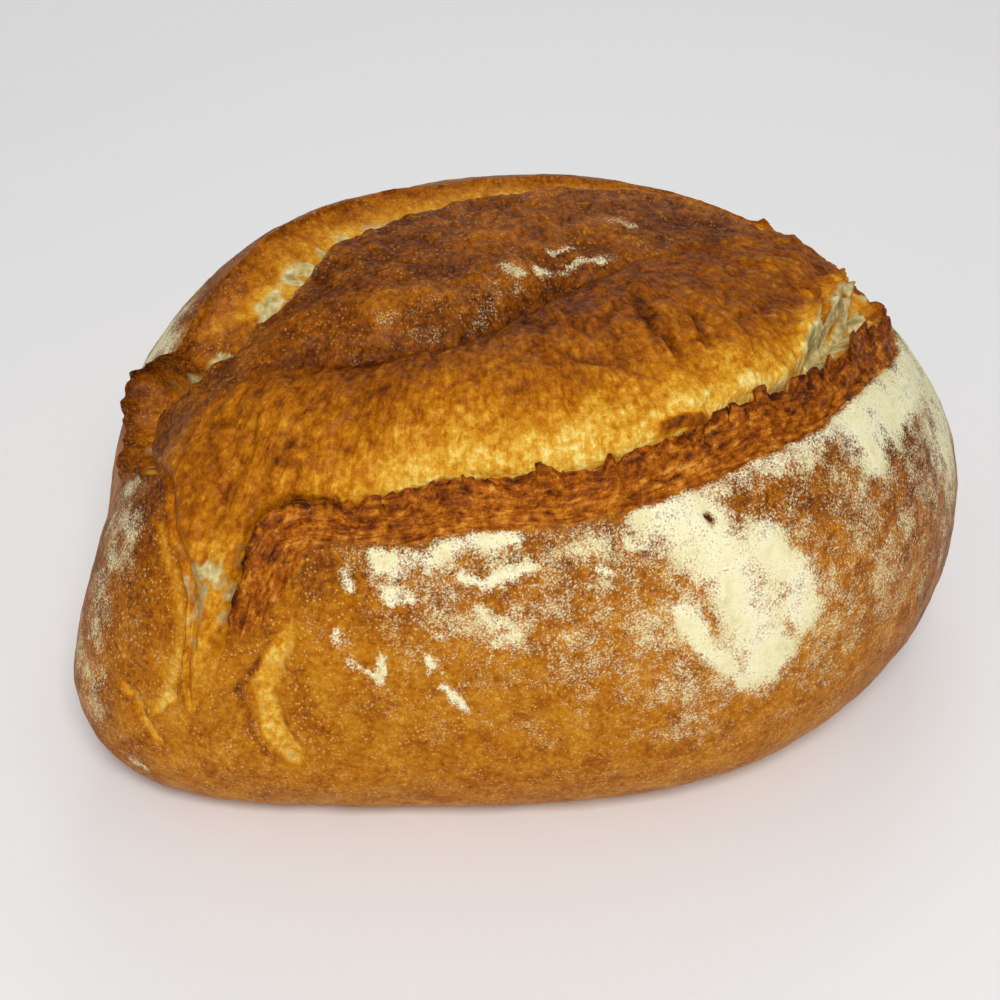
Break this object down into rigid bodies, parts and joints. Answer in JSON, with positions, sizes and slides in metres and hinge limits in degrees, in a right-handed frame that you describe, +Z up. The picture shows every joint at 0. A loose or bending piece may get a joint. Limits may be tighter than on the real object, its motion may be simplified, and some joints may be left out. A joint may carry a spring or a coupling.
{
  "type": "sourdough loaf",
  "caption": "Oval hearth-baked country loaf with torn, raised crust lips around a swollen golden bloom, a floured flank and a flat base to rest on.",
  "frame": {"origin": "on the surface the loaf rests on, under the middle of its bounding box", "axes": "+X along the loaf towards its blunt, floured right end; -Y towards its floured front flank; +Z up"},
  "size_m": [0.275, 0.2064, 0.1364],
  "materials": {
    "crust": "satin"
  },
  "bodies": {
    "root": {"loaf": "crust"}
  },
  "joints": []
}
